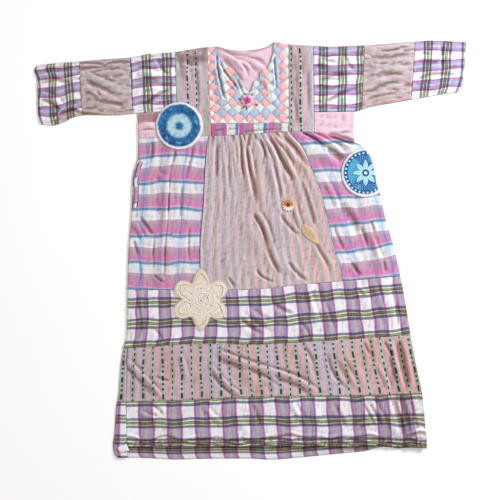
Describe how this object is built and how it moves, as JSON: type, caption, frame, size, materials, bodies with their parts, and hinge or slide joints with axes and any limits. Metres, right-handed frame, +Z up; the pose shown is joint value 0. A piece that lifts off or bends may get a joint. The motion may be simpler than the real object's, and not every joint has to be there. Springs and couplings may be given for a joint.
{
  "type": "patchwork midi dress",
  "caption": "Long-sleeved patchwork cotton dress laid flat, with a notched neck, pieced bib, gathered skirt, printed and checked tiers and sewn-on motifs.",
  "frame": {"origin": "middle of the dress's box, on the surface that it lies on", "axes": "+Z up from the surface, +Y from the hem to the neck, +X along the sleeves towards the wearer's left arm"},
  "size_m": [1.1842, 1.1544, 0.0114],
  "materials": {
    "check_cotton": "woven check, white ground with rose, lilac, slate and olive bands",
    "madras_cotton": "woven cross stripes, pink, mauve, cream and teal",
    "stripe_cotton": "woven narrow stripes, pink, lilac and sage",
    "dash_stripe_cotton": "woven stripes with dark green dashes",
    "pink_cotton": "plain soft cotton",
    "pieced_bib": "small squares set on point, salmon, powder blue and white",
    "indigo_patch": "resist-dyed cotton with a pale edge",
    "blue_print_patch": "blue and white floral print",
    "cream_lace": "close crochet lace",
    "rosette_thread": "thick embroidery, magenta heart and pale pink petals",
    "tan_thread": "embroidery thread",
    "leaf_thread": "embroidery thread with a pale edge"
  },
  "bodies": {
    "root": {"front_bib": "pieced_bib", "front_yoke_left": "dash_stripe_cotton", "front_yoke_right": "dash_stripe_cotton", "front_gusset_left": "pink_cotton", "front_gusset_right": "pink_cotton", "waist_band": "madras_cotton", "front_centre_panel": "stripe_cotton", "front_side_panel_left": "madras_cotton", "front_side_panel_right": "madras_cotton", "front_tier_check": "check_cotton", "front_tier_dash": "dash_stripe_cotton", "front_hem_tier": "check_cotton", "back_yoke": "pink_cotton", "back_gusset_left": "pink_cotton", "back_gusset_right": "pink_cotton", "back_skirt": "madras_cotton", "back_tier_check": "check_cotton", "back_tier_dash": "dash_stripe_cotton", "back_hem_tier": "check_cotton", "sleeve_upper_left": "check_cotton", "sleeve_middle_left": "stripe_cotton", "sleeve_cuff_left": "check_cotton", "sleeve_upper_right": "check_cotton", "sleeve_middle_right": "stripe_cotton", "sleeve_cuff_right": "check_cotton", "pocket_facing": "madras_cotton", "round_patch_left": "indigo_patch", "round_patch_right": "blue_print_patch", "doily": "cream_lace", "rosette": "rosette_thread", "small_flower": "tan_thread", "leaf": "leaf_thread"}
  },
  "joints": []
}
